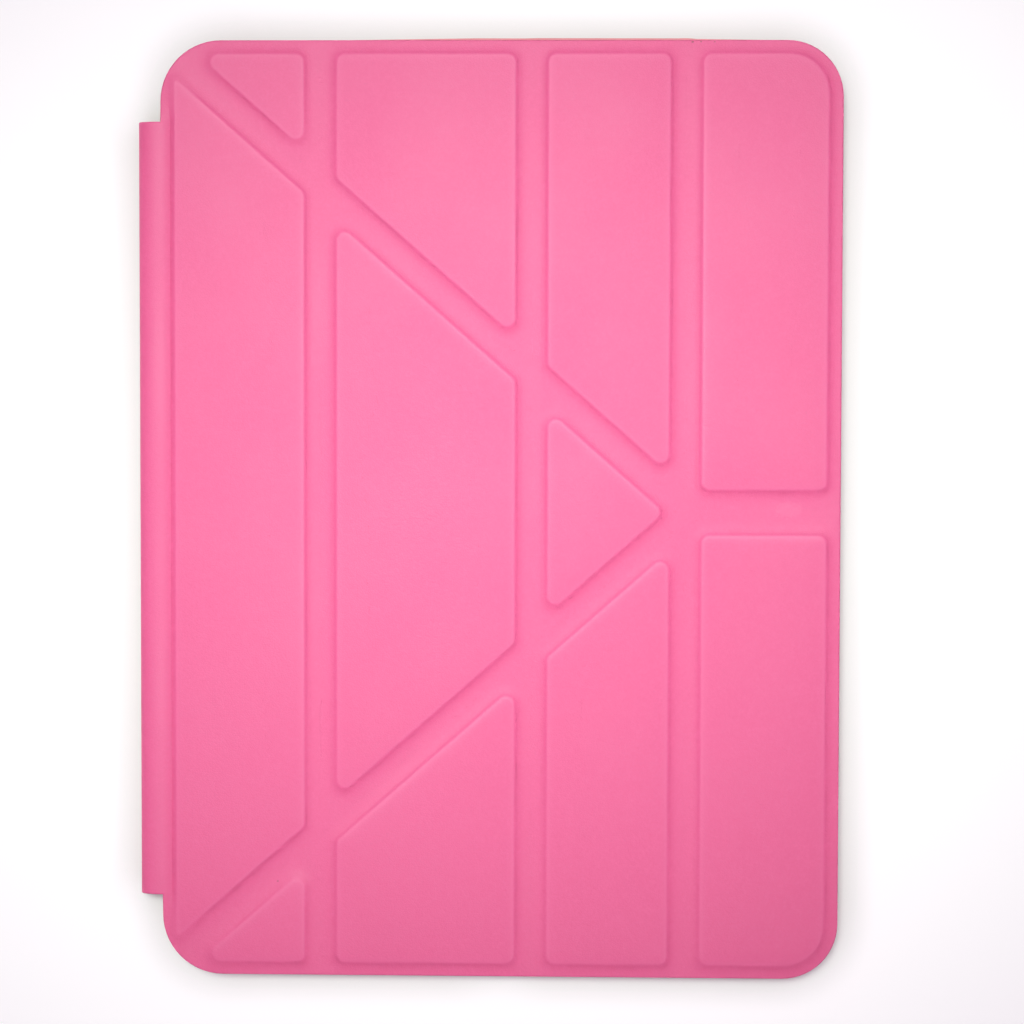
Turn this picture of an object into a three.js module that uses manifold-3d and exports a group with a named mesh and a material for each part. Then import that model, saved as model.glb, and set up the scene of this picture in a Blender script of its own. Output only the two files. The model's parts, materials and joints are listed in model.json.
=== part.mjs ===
// Folio case for an 11-inch tablet: a tray of a stiff plate in a bumper frame, a rounded spine and a
// front cover whose stiffening boards are split by straight and diagonal creases.
// Millimetres. +X runs from the spine to the free edge, +Y along the long side, +Z out of the front.
// The origin is under the middle of the closed case, on the surface that it lies on.
import * as THREE from 'three';
import { mergeVertices } from 'three/addons/utils/BufferGeometryUtils.js';
import Module from 'manifold-3d';

const wasm = await Module();
wasm.setup();

// ---------------------------------------------------------------- driving dimensions
const COVER_WIDTH = 182.6;
const COVER_LENGTH = 252;
const COVER_CORNER_RADIUS = 15;
const SPINE_BULGE = 6.4;
const SPINE_LENGTH = 208.6;

const TABLET_WIDTH = 178.5;
const TABLET_LENGTH = 247.6;
const TABLET_THICKNESS = 6.1;
const TABLET_CLEARANCE = 0.1;

const LEATHER = 0.8;
const GLUE_GAP = 0.1;
const LINING = 0.4;
const COVER_LINING = 0.5;
const BOARD = 1;
const TRAY_FLOOR = 1.2;
const TRAY_INSET = 0.4;
const TRAY_LIP_HEIGHT = 0.5;
const TRAY_LIP_DEPTH = 0.5;
const COVER_CLEARANCE = 0.2;
const HINGE_GAP = 0.15;

const CREASES = [43, 99.7, 141];
const BOARD_GAP = 8.1;
const MIDDLE_GAP = 11.6;
const DIAGONAL_ANGLE = THREE.MathUtils.degToRad(41.4);
const DIAGONAL_APEX = 142;
const PANEL_RADIUS = 2.6;
const OUTER_PANEL_RADIUS = 11;
const BORDER = { left: 3.4, right: 3.5, ends: 3.35 };

const WINDOW = { size: 32, radius: 8, fromEdge: 22 };
const RING_CLEARANCE = 0.1;
const RING_WIDTH = 1;
const PORT = { width: 15, bottom: 2.9, top: 7.9 };
const SPEAKER = { width: 22, height: 2.4, fromMiddle: 52, middle: 5.4 };
const BUTTON = {
  length: 14, height: 2.6, travel: 0.45, proud: 0.4, middle: 5.6,
  shaft: 0.75, flange: 0.3, flangeMargin: 0.9, clearance: 0.15, rest: 0.05,
};
const MAGNET = { length: 12, width: 5, thickness: 0.9, fromEdge: 3 };
const SLEEP_MAGNET = { diameter: 6, thickness: 0.9 };
const PLATE = { length: 34, width: 8, thickness: 0.5, fromMiddle: 52 };
const INSERT_CLEARANCE = 0.15;

// ---------------------------------------------------------------- heights, from the resting surface up
const Z = {};
Z.trayBottom = LEATHER + GLUE_GAP;
Z.floor = Z.trayBottom + TRAY_FLOOR;
Z.bed = Z.floor + GLUE_GAP + LINING;
Z.lip = Z.bed + TABLET_THICKNESS + TABLET_CLEARANCE;
Z.rim = Z.lip + TRAY_LIP_HEIGHT;
Z.coverBottom = Z.rim + COVER_CLEARANCE;
Z.boardBottom = Z.coverBottom + COVER_LINING + GLUE_GAP;
Z.groove = Z.boardBottom + LEATHER;
Z.boardTop = Z.boardBottom + BOARD;
Z.pocketTop = Z.boardTop + GLUE_GAP;
Z.top = Z.pocketTop + LEATHER;

const HALF_LENGTH = COVER_LENGTH / 2;
const SPINE_MIDDLE = Z.groove / 2;

// ---------------------------------------------------------------- materials
function material(color, roughness, metalness = 0) {
  return new THREE.MeshStandardMaterial({ color, roughness, metalness });
}
const LEATHER_PINK = material(0xf67fb0, 0.5);
const LINING_SALMON = material(0xe99a9a, 0.95);
const TRAY_PINK = material(0xf08ab2, 0.55);
const BUTTON_PINK = material(0xee7fab, 0.45);
const RING_PINK = material(0xd96a98, 0.3);
const BOARD_GREY = material(0xb9ab98, 0.9);
const STRIP_WHITE = material(0xe9e6e0, 0.6);
const STEEL = material(0x9ea2a6, 0.35, 1);

// ---------------------------------------------------------------- solids
function solid(geometry) {
  const bare = geometry.clone();
  bare.deleteAttribute('normal');
  bare.deleteAttribute('uv');
  const merged = mergeVertices(bare, 1e-4);
  return new wasm.Manifold(new wasm.Mesh({
    numProp: 3,
    vertProperties: Float32Array.from(merged.attributes.position.array),
    triVerts: Uint32Array.from(merged.index.array),
  }));
}

function prism(shape, bottom, top, curveSegments = 3) {
  const options = { depth: top - bottom, bevelEnabled: false, curveSegments };
  return solid(new THREE.ExtrudeGeometry(shape, options).translate(0, 0, bottom));
}

function block(low, high) {
  const size = high.map((value, i) => value - low[i]);
  const middle = high.map((value, i) => (value + low[i]) / 2);
  return solid(new THREE.BoxGeometry(...size).translate(...middle));
}

const group = new THREE.Group();
group.position.x = -(COVER_WIDTH - SPINE_BULGE) / 2;

function add(name, manifold, look) {
  const { vertProperties, triVerts } = manifold.getMesh();
  const geometry = new THREE.BufferGeometry();
  geometry.setAttribute('position', new THREE.BufferAttribute(vertProperties, 3));
  geometry.setIndex(new THREE.BufferAttribute(triVerts, 1));
  geometry.computeVertexNormals();
  const mesh = new THREE.Mesh(geometry, look);
  mesh.name = name;
  group.add(mesh);
}

// ---------------------------------------------------------------- outlines
function roundedRectangle(left, bottom, right, top, radius) {
  const shape = new THREE.Shape();
  const quarter = Math.PI / 2;
  shape.absarc(right - radius, bottom + radius, radius, -quarter, 0);
  shape.absarc(right - radius, top - radius, radius, 0, quarter);
  shape.absarc(left + radius, top - radius, radius, quarter, 2 * quarter);
  shape.absarc(left + radius, bottom + radius, radius, 2 * quarter, 3 * quarter);
  shape.closePath();
  return shape;
}

// The cover's outline, pulled in by `inset` all round.
function coverOutline(inset) {
  return roundedRectangle(inset, inset - HALF_LENGTH, COVER_WIDTH - inset, HALF_LENGTH - inset,
    COVER_CORNER_RADIUS - inset);
}

const TRAY_MIDDLE = COVER_WIDTH / 2;
const CAVITY_INSET = (COVER_WIDTH - TABLET_WIDTH) / 2 - TABLET_CLEARANCE;
const CAVITY_END_INSET = (COVER_LENGTH - TABLET_LENGTH) / 2 - TABLET_CLEARANCE;

// The tablet's outline, pulled in by `inset` from the walls of the tray's cavity.
function tabletOutline(inset) {
  const x = CAVITY_INSET + inset;
  const y = HALF_LENGTH - CAVITY_END_INSET - inset;
  return roundedRectangle(x, -y, COVER_WIDTH - x, y, COVER_CORNER_RADIUS - x);
}

// ---------------------------------------------------------------- board panels
// A panel is the region inside a few straight lines, each { normal, reach }, with rounded corners.
function line(x, y, reach) {
  return { normal: new THREE.Vector2(x, y), reach };
}

// Signed distance limit from the upper diagonal crease, which runs from the apex up to the spine.
function diagonal(above, upper) {
  const sign = above ? -1 : 1;
  const normal = new THREE.Vector2(sign * Math.sin(DIAGONAL_ANGLE),
    sign * Math.cos(DIAGONAL_ANGLE) * (upper ? 1 : -1));
  return { normal, reach: normal.x * DIAGONAL_APEX - BOARD_GAP / 2 };
}

const COLUMN_EDGES = [0, ...CREASES, COVER_WIDTH];
const LAST = CREASES.length;
const END_REACH = HALF_LENGTH - BORDER.ends;

function columnLines(column) {
  const left = column === 0 ? BORDER.left : COLUMN_EDGES[column] + BOARD_GAP / 2;
  const right = column === LAST ? COVER_WIDTH - BORDER.right : COLUMN_EDGES[column + 1] - BOARD_GAP / 2;
  return [line(1, 0, right), line(0, 1, END_REACH), line(-1, 0, -left), line(0, -1, END_REACH)];
}

const PANELS = [];
for (let column = 0; column <= LAST; column += 1) {
  const sides = columnLines(column);
  if (column < LAST) {
    const centre = [...sides, diagonal(false, true), diagonal(false, false)];
    PANELS.push({ column, name: 'top', lines: [...sides, diagonal(true, true)] });
    PANELS.push({ column, name: 'centre', lines: centre });
    PANELS.push({ column, name: 'bottom', lines: [...sides, diagonal(true, false)] });
  } else {
    PANELS.push({ column, name: 'top', lines: [...sides, line(0, -1, -MIDDLE_GAP / 2)] });
    PANELS.push({ column, name: 'bottom', lines: [...sides, line(0, 1, -MIDDLE_GAP / 2)] });
  }
}

// The corners of the region inside the lines, found by cutting a large square with each line.
function cornersOf(lines) {
  const far = COVER_LENGTH;
  let corners = [[far, far], [-far, far], [-far, -far], [far, -far]].map((p) => new THREE.Vector2(...p));
  for (const { normal, reach } of lines) {
    const kept = [];
    corners.forEach((corner, i) => {
      const next = corners[(i + 1) % corners.length];
      const here = normal.dot(corner) - reach;
      const there = normal.dot(next) - reach;
      if (here <= 0) {
        kept.push(corner);
      }
      if (here * there < 0) {
        kept.push(corner.clone().lerp(next, here / (here - there)));
      }
    });
    corners = kept;
  }
  return corners;
}

// A corner of the last column that lies at the cover's own corner follows its large radius.
function cornerRadius(panel, corner) {
  const outer = panel.column === LAST && corner.x > COVER_WIDTH - 2 * BORDER.right;
  return outer && Math.abs(corner.y) > HALF_LENGTH / 2 ? OUTER_PANEL_RADIUS : PANEL_RADIUS;
}

// A panel's outline, pulled in by `inset`, with an arc at each corner.
function panelOutline(panel, inset) {
  const lines = panel.lines.map(({ normal, reach }) => ({ normal, reach: reach - inset }));
  const corners = cornersOf(lines);
  const shape = new THREE.Shape();
  corners.forEach((corner, i) => {
    const before = corners.at(i - 1).clone().sub(corner).normalize();
    const after = corners[(i + 1) % corners.length].clone().sub(corner).normalize();
    const halfAngle = Math.acos(before.dot(after)) / 2;
    const radius = Math.max(cornerRadius(panel, corner) - inset, 0.5);
    const bisector = before.clone().add(after).normalize();
    const centre = corner.clone().addScaledVector(bisector, radius / Math.sin(halfAngle));
    const start = corner.clone().addScaledVector(before, radius / Math.tan(halfAngle)).sub(centre);
    const end = corner.clone().addScaledVector(after, radius / Math.tan(halfAngle)).sub(centre);
    shape.absarc(centre.x, centre.y, radius, start.angle(), end.angle());
  });
  shape.closePath();
  return shape;
}

// ---------------------------------------------------------------- tray
const WINDOW_X = (COVER_WIDTH + TABLET_WIDTH) / 2 - WINDOW.fromEdge;
const WINDOW_Y = TABLET_LENGTH / 2 - WINDOW.fromEdge;

function windowOutline(margin) {
  const half = WINDOW.size / 2 + margin;
  return roundedRectangle(WINDOW_X - half, WINDOW_Y - half, WINDOW_X + half, WINDOW_Y + half,
    WINDOW.radius + margin);
}

// A slot with round ends through a short wall; `side` is +1 for the top wall, -1 for the bottom one.
function wallSlot(x, side, width, bottom, top) {
  const radius = (top - bottom) / 2;
  const shape = roundedRectangle(x - width / 2, bottom, x + width / 2, top, radius * 0.999);
  const wall = new THREE.ExtrudeGeometry(shape, { depth: 8, bevelEnabled: false, curveSegments: 3 });
  return solid(wall.rotateX(Math.PI / 2).translate(0, side * HALF_LENGTH + 4, 0));
}

// A box given in a wall's own axes: `along` the wall, `depth` in from the tray's outer face.
function wallBlock(wall, halfAlong, depthFrom, depthTo, halfHeight) {
  const [zLow, zHigh] = [BUTTON.middle - halfHeight, BUTTON.middle + halfHeight];
  const [low, high] = [wall.along - halfAlong, wall.along + halfAlong];
  if (wall.top) {
    const face = HALF_LENGTH - TRAY_INSET;
    return block([low, face - depthTo, zLow], [high, face - depthFrom, zHigh]);
  }
  const face = COVER_WIDTH - TRAY_INSET;
  return block([face - depthTo, low, zLow], [face - depthFrom, high, zHigh]);
}

const BUTTONS = [
  { name: 'power_button', top: true, along: WINDOW_X, wall: CAVITY_END_INSET - TRAY_INSET },
  { name: 'volume_up_button', top: false, along: WINDOW_Y - 4, wall: CAVITY_INSET - TRAY_INSET },
  { name: 'volume_down_button', top: false, along: WINDOW_Y - 22, wall: CAVITY_INSET - TRAY_INSET },
];

function buttonHole(button) {
  const margin = BUTTON.clearance;
  const flange = BUTTON.flangeMargin + margin;
  const shaft = wallBlock(button, BUTTON.length / 2 + margin, -1, button.wall + 1,
    BUTTON.height / 2 + margin);
  const recess = wallBlock(button, BUTTON.length / 2 + flange, BUTTON.shaft, button.wall + 1,
    BUTTON.height / 2 + flange);
  return shaft.add(recess);
}

function buttonSolid(button) {
  const flangeFrom = BUTTON.shaft + BUTTON.rest;
  const cap = wallBlock(button, BUTTON.length / 2, -BUTTON.proud, flangeFrom + BUTTON.flange,
    BUTTON.height / 2);
  const flange = wallBlock(button, BUTTON.length / 2 + BUTTON.flangeMargin, flangeFrom,
    flangeFrom + BUTTON.flange, BUTTON.height / 2 + BUTTON.flangeMargin);
  return cap.add(flange);
}

let frame = prism(coverOutline(TRAY_INSET), Z.trayBottom, Z.rim)
  .subtract(prism(tabletOutline(0), 0, Z.lip))
  .subtract(prism(tabletOutline(TRAY_LIP_DEPTH), 0, Z.rim + 1))
  .subtract(wallSlot(TRAY_MIDDLE, -1, PORT.width, PORT.bottom, PORT.top));
for (const side of [-1, 1]) {
  for (const offset of [-SPEAKER.fromMiddle, SPEAKER.fromMiddle]) {
    const x = side === 1 && offset > 0 ? TRAY_MIDDLE + offset / 2 : TRAY_MIDDLE + offset;
    frame = frame.subtract(wallSlot(x, side, SPEAKER.width, SPEAKER.middle - SPEAKER.height / 2,
      SPEAKER.middle + SPEAKER.height / 2));
  }
}
for (const button of BUTTONS) {
  frame = frame.subtract(buttonHole(button));
  add(button.name, buttonSolid(button), BUTTON_PINK);
}
// The frame's corners are bumpers of their own between its four straight walls.
const FRAME_PIECES = [
  ['corner_bottom_left', 'frame_bottom', 'corner_bottom_right'],
  ['frame_left', null, 'frame_right'],
  ['corner_top_left', 'frame_top', 'corner_top_right'],
];

// The stretches of a side: its first corner, its straight wall and its last corner.
function stretches(low, high) {
  const [first, last] = [low + COVER_CORNER_RADIUS, high - COVER_CORNER_RADIUS];
  return [[low, first], [first + GLUE_GAP, last - GLUE_GAP], [last, high]];
}

stretches(-HALF_LENGTH, HALF_LENGTH).forEach(([yLow, yHigh], row) => {
  stretches(0, COVER_WIDTH).forEach(([xLow, xHigh], place) => {
    const name = FRAME_PIECES[row][place];
    if (name) {
      add(name, frame.intersect(block([xLow, yLow, 0], [xHigh, yHigh, Z.top])), TRAY_PINK);
    }
  });
});
add('tray_plate', prism(tabletOutline(TABLET_CLEARANCE), Z.trayBottom, Z.floor)
  .subtract(prism(windowOutline(0), 0, Z.floor + 1)), TRAY_PINK);
add('back_skin', prism(coverOutline(TRAY_INSET), 0, LEATHER)
  .subtract(prism(windowOutline(0), -1, LEATHER + 1)), LEATHER_PINK);
add('tray_lining', prism(tabletOutline(TABLET_CLEARANCE), Z.floor + GLUE_GAP, Z.bed)
  .subtract(prism(windowOutline(RING_CLEARANCE), Z.floor, Z.bed + 1)), LINING_SALMON);
add('camera_ring', prism(windowOutline(-RING_CLEARANCE), GLUE_GAP, Z.floor)
  .subtract(prism(windowOutline(-RING_CLEARANCE - RING_WIDTH), 0, Z.floor + 1)), RING_PINK);

// ---------------------------------------------------------------- spine
// One layer of the rounded spine: half an elliptical tube, `depth` below the outer surface.
function spineLayer(depth, thickness) {
  const shape = new THREE.Shape();
  const quarter = Math.PI / 2;
  const reach = SPINE_BULGE - HINGE_GAP - depth;
  const rise = SPINE_MIDDLE - depth;
  shape.absellipse(-HINGE_GAP, SPINE_MIDDLE, reach, rise, quarter, 3 * quarter, false, 0);
  shape.absellipse(-HINGE_GAP, SPINE_MIDDLE, reach - thickness, rise - thickness, 3 * quarter, quarter,
    true, 0);
  shape.closePath();
  const options = { depth: SPINE_LENGTH, bevelEnabled: false, curveSegments: 7 };
  const tube = new THREE.ExtrudeGeometry(shape, options).rotateX(Math.PI / 2);
  return solid(tube.translate(0, SPINE_LENGTH / 2, 0));
}

const STRIP_DEPTH = LEATHER + GLUE_GAP;
const SPINE_LINING_DEPTH = STRIP_DEPTH + LINING + GLUE_GAP;
add('spine_skin', spineLayer(0, LEATHER), LEATHER_PINK);
add('spine_strip', spineLayer(STRIP_DEPTH, LINING), STRIP_WHITE);
add('spine_lining', spineLayer(SPINE_LINING_DEPTH, LINING), LINING_SALMON);

// ---------------------------------------------------------------- what is set into the boards
// Each insert lies in a cut-out through its board.
function insertOutline(insert, margin) {
  const { x, y, width, length, radius } = insert;
  return roundedRectangle(x - width / 2 - margin, y - length / 2 - margin, x + width / 2 + margin,
    y + length / 2 + margin, radius + margin);
}

const INSERTS = [];
const freeEdge = COVER_WIDTH - BORDER.right - MAGNET.fromEdge - MAGNET.width / 2;
[95, 30, -30, -95].forEach((y, i) => {
  INSERTS.push({ name: `edge_magnet_${i + 1}`, column: LAST, x: freeEdge, y, width: MAGNET.width,
    length: MAGNET.length, radius: 0.6, thickness: MAGNET.thickness });
});
INSERTS.push({ name: 'sleep_magnet', column: LAST, x: freeEdge - 14, y: 62, width: SLEEP_MAGNET.diameter,
  length: SLEEP_MAGNET.diameter, radius: SLEEP_MAGNET.diameter * 0.499,
  thickness: SLEEP_MAGNET.thickness });
[1, -1].forEach((side) => {
  INSERTS.push({ name: side > 0 ? 'steel_plate_top' : 'steel_plate_bottom', column: 0, x: CREASES[0] / 2,
    y: side * PLATE.fromMiddle, width: PLATE.width, length: PLATE.length, radius: 1,
    thickness: PLATE.thickness });
});
for (const insert of INSERTS) {
  add(insert.name, prism(insertOutline(insert, 0), Z.boardBottom, Z.boardBottom + insert.thickness),
    STEEL);
}

// ---------------------------------------------------------------- cover, one column of boards at a time
for (let column = 0; column <= LAST; column += 1) {
  const low = column === 0 ? HINGE_GAP : COLUMN_EDGES[column] + HINGE_GAP;
  const high = column === LAST ? COVER_WIDTH + 1 : COLUMN_EDGES[column + 1] - HINGE_GAP;
  const band = block([low, -COVER_LENGTH, 0], [high, COVER_LENGTH, 2 * Z.top]);
  let skin = prism(coverOutline(0), Z.boardBottom, Z.groove, 6).intersect(band);
  for (const panel of PANELS.filter((each) => each.column === column)) {
    skin = skin.add(prism(panelOutline(panel, 0), Z.boardBottom, Z.top));
    skin = skin.subtract(prism(panelOutline(panel, LEATHER - GLUE_GAP), Z.coverBottom, Z.pocketTop));
    let board = prism(panelOutline(panel, LEATHER), Z.boardBottom, Z.boardTop);
    for (const insert of INSERTS) {
      board = board.subtract(prism(insertOutline(insert, INSERT_CLEARANCE), Z.coverBottom, Z.top));
    }
    add(`board_${column + 1}_${panel.name}`, board, BOARD_GREY);
  }
  add(`cover_skin_${column + 1}`, skin, LEATHER_PINK);
  add(`cover_lining_${column + 1}`,
    prism(coverOutline(0), Z.coverBottom, Z.coverBottom + COVER_LINING, 6).intersect(band),
    LINING_SALMON);
}

export default group;
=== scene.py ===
import json
import math

import bmesh
import bpy
import numpy as np
from mathutils import Matrix, Vector, noise
from mathutils.geometry import delaunay_2d_cdt
from mathutils.kdtree import KDTree


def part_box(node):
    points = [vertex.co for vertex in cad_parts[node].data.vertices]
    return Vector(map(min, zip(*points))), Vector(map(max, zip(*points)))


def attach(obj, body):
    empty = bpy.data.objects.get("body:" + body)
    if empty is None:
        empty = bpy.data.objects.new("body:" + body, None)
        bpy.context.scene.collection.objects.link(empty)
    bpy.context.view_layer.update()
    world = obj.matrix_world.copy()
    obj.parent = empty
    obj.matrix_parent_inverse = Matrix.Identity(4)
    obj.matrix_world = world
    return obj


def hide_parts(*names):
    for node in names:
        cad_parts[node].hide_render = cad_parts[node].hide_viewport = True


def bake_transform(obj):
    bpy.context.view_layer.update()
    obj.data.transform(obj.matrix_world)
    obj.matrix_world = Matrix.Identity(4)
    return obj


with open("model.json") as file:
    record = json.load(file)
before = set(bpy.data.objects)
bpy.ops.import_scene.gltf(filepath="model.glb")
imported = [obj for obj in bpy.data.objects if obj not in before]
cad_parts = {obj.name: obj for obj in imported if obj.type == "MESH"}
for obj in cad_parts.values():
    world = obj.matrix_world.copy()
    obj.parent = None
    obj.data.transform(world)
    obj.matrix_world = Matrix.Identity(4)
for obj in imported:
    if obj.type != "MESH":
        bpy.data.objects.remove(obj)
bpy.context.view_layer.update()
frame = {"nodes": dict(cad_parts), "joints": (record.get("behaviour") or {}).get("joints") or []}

MM = 0.001


# ---- places, from the frame
def node_box(node):
    low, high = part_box(node)
    return low / MM, high / MM


JOINTS = {joint["name"]: joint for joint in frame["joints"]}


def joint_place(name):
    return Vector(JOINTS[name]["pos_m"]) / MM


LEFT = joint_place("cover_swing").x
RIGHT = node_box("cover_skin_4")[1].x
HALF = node_box("cover_skin_2")[1].y
CREASES = [joint_place(name).x for name in ("fold_1", "fold_2", "fold_3")]
MIDDLE = (LEFT + RIGHT) / 2
SPINE_LOW, SPINE_HIGH = node_box("spine_skin")
SPINE_HALF = SPINE_HIGH.y
LINING_LOW, LINING_HIGH = (corner.z for corner in node_box("cover_lining_2"))
SKIN_LOW, SKIN_TOP = (corner.z for corner in node_box("cover_skin_2"))
GROOVE = SPINE_HIGH.z
BACK_TOP = node_box("back_skin")[1].z
WALLS = {side: node_box(f"frame_{side}") for side in ("left", "right", "top", "bottom")}
FRAME_LOW = Vector((WALLS["left"][0].x, WALLS["bottom"][0].y, WALLS["left"][0].z))
FRAME_HIGH = Vector((WALLS["right"][1].x, WALLS["top"][1].y, WALLS["left"][1].z))
PLATE_LOW, PLATE_HIGH = node_box("tray_plate")
BED_LOW, BED_HIGH = node_box("tray_lining")
RING_LOW, RING_HIGH = node_box("camera_ring")

# ---- driving dimensions
COVER_RADIUS = 15
COVER_RADIUS_LEFT = 16.3
BOARD_GAP = 8.1
MIDDLE_GAP = 11.6
DIAGONAL = math.radians(41.4)
APEX = LEFT + 142
PANEL_RADIUS = 2.6
OUTER_PANEL_RADIUS = 11
SHARP_PANEL_RADIUS = 1.0
BORDER_LEFT, BORDER_RIGHT, BORDER_ENDS = 3.4, 3.5, 3.35
LEATHER = 0.8
CREASE_HALF = 2.5
HINGE_EDGE = LEFT + 2.0
SPINE_EDGE = LEFT - 1.5
SPINE_CREST = LEFT - 0.65
SPINE_VALLEY = LEFT + 2.85
CREST_RISE = 0.8
CREST_DROP = 0.62
SPINE_SQUARENESS = 6
SPINE_SHY = 0.3
STEP = 3.2
SEAM_STEP = 1.6

# The leather's height over a board's edge: how far in from the panel's outline, how far up.
BEVEL = [(-0.62, 0.57), (-0.44, 0.615), (-0.26, 0.69), (-0.08, 0.772), (0.1, 0.85), (0.28, 0.913),
         (0.46, 0.957), (0.68, 0.989), (0.9, 1.013), (1.4, 1.045), (2.6, 1.085)]
# The hollow that the leather makes in a groove: how far out from the nearest panel, how far up.
HOLLOW = [(0.62, 0.57), (0.85, 0.512), (1.15, 0.452), (1.45, 0.402), (1.85, 0.352), (2.35, 0.31),
          (2.95, 0.282), (3.6, 0.267)]
HOLLOW_REACH, HOLLOW_UP = zip(*HOLLOW)
HOLLOW_RINGS = (1.3, 1.08, 0.85)
HOLLOW_POINTS = (1.9, 2.4, 3.1, 3.9)
POCKET_INSET = 0.7
SHARP_TIP = math.radians(50)
TIP_REACH = 7.5
TIP_SINK, TIP_SINK_BY_SPINE = 0.2, 0.65
CROWN = 0.07
FOOT_BY_SPINE = 0.25

# A cut leather edge is rolled a little: how far in from the edge, how far down.
ROLL = [(0.0, 0.36), (0.05, 0.2), (0.14, 0.07), (0.26, 0.015), (0.4, 0.0), (0.7, 0.0)]


# ---- panels
def clip(corners, normal, reach):
    kept = []
    for i, corner in enumerate(corners):
        following = corners[(i + 1) % len(corners)]
        here = normal.dot(corner) - reach
        there = normal.dot(following) - reach
        if here <= 0:
            kept.append(corner)
        if here * there < 0:
            kept.append(corner.lerp(following, here / (here - there)))
    return kept


class Panel:
    """The outline that a stiffening board raises: straight sides with a round corner between them."""

    def __init__(self, column, lines):
        self.column = column
        far = 999
        corners = [Vector(p) for p in ((far, far), (-far, far), (-far, -far), (far, -far))]
        for normal, reach in lines:
            corners = clip(corners, normal, reach)
        self.sides = []
        for i, corner in enumerate(corners):
            along = (corners[(i + 1) % len(corners)] - corner).normalized()
            normal = Vector((along.y, -along.x))
            self.sides.append((normal, normal.dot(corner)))
        self.radii = [self.corner_radius(corner) for corner in corners]
        arms = [(corners[i - 1] - corner, corners[(i + 1) % len(corners)] - corner)
                for i, corner in enumerate(corners)]
        self.tips = [corner for corner, (a, b) in zip(corners, arms) if a.angle(b) < SHARP_TIP]

    def corner_radius(self, corner):
        if corner.x > RIGHT - 2 * BORDER_RIGHT and abs(corner.y) > HALF / 2:
            return OUTER_PANEL_RADIUS
        return SHARP_PANEL_RADIUS if corner.x < LEFT + 2 * BORDER_LEFT else PANEL_RADIUS

    def depth(self, x, y):
        """How far a point lies inside the panel's straight sides."""
        return min(reach - normal.x * x - normal.y * y for normal, reach in self.sides)

    def relief(self, x, y):
        """The share of its height that the leather keeps where it bridges a board's sharp tips."""
        near = sum(bell((tip - Vector((x, y))).length, TIP_REACH) for tip in self.tips)
        return 1 - (TIP_SINK_BY_SPINE if self.column == 0 else TIP_SINK) * min(near, 1.0)

    def corners(self, inset):
        found = []
        for i, (normal, reach) in enumerate(self.sides):
            before, before_reach = self.sides[i - 1]
            cross = before.x * normal.y - before.y * normal.x
            a, b = before_reach - inset, reach - inset
            found.append(Vector(((a * normal.y - b * before.y) / cross,
                                 (before.x * b - normal.x * a) / cross)))
        return found

    def ring(self, inset, step=STEP):
        corners = self.corners(inset)
        count = len(corners)
        points = []
        for i, corner in enumerate(corners):
            before = (corners[i - 1] - corner).normalized()
            after = (corners[(i + 1) % count] - corner).normalized()
            half = before.angle(after) / 2
            radius = max(self.radii[i] - inset, 0.3)
            centre = corner + (before + after).normalized() * radius / math.sin(half)
            start = corner + before * radius / math.tan(half) - centre
            turn = math.pi - 2 * half
            segments = max(5, round(turn * max(radius, 1.5) / 0.35))
            for k in range(segments + 1):
                arm = start.copy()
                arm.rotate(Matrix.Rotation(turn * k / segments, 2))
                points.append(centre + arm)
        return subdivided(points, step)


def subdivided(points, step):
    """A closed outline with extra points wherever two neighbours are far apart."""
    dense = []
    for i, point in enumerate(points):
        following = points[(i + 1) % len(points)]
        count = max(1, round((following - point).length / step))
        dense += [point.lerp(following, k / count) for k in range(count)]
    return dense


def half_plane(x, y, reach):
    return Vector((x, y)), reach


def diagonal(outside, upper):
    """One side of a diagonal crease, which runs from the apex to a corner at the spine."""
    sign = -1 if outside else 1
    normal = Vector((sign * math.sin(DIAGONAL), sign * math.cos(DIAGONAL) * (1 if upper else -1)))
    return normal, normal.x * APEX - BOARD_GAP / 2


def make_panels():
    edges = [LEFT, *CREASES, RIGHT]
    panels = []
    for column in range(4):
        left = LEFT + BORDER_LEFT if column == 0 else edges[column] + BOARD_GAP / 2
        right = RIGHT - BORDER_RIGHT if column == 3 else edges[column + 1] - BOARD_GAP / 2
        ends = HALF - BORDER_ENDS
        sides = [half_plane(1, 0, right), half_plane(0, 1, ends), half_plane(-1, 0, -left),
                 half_plane(0, -1, ends)]
        if column == 3:
            panels.append(Panel(column, sides + [half_plane(0, -1, -MIDDLE_GAP / 2)]))
            panels.append(Panel(column, sides + [half_plane(0, 1, -MIDDLE_GAP / 2)]))
        else:
            panels.append(Panel(column, sides + [diagonal(True, True)]))
            panels.append(Panel(column, sides + [diagonal(False, True), diagonal(False, False)]))
            panels.append(Panel(column, sides + [diagonal(True, False)]))
    return panels


PANELS = make_panels()


def make_outline_tree():
    """Every panel's outline as short straight stretches, to measure distances to."""
    stretches = []
    for panel in PANELS:
        ring = panel.ring(0.0, 1.5)
        stretches += [(ring[i - 1], point) for i, point in enumerate(ring)]
    tree = KDTree(len(stretches))
    for i, (start, end) in enumerate(stretches):
        tree.insert(((start + end) / 2).to_3d(), i)
    tree.balance()
    return stretches, tree


STRETCHES, OUTLINE_TREE = make_outline_tree()


def panels_on(column):
    return [panel for panel in PANELS if panel.column == column]


def panel_distance(x, y):
    """How far a point in the grooves lies from the nearest panel's outline."""
    point = Vector((x, y))
    found = []
    for _, i, _ in OUTLINE_TREE.find_n((x, y, 0), 6):
        start, end = STRETCHES[i]
        share = min(max((point - start).dot(end - start) / (end - start).length_squared, 0.0), 1.0)
        found.append((start.lerp(end, share) - point).length)
    return min(found)


def smooth(t):
    t = min(max(t, 0.0), 1.0)
    return t * t * (3 - 2 * t)


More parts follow.
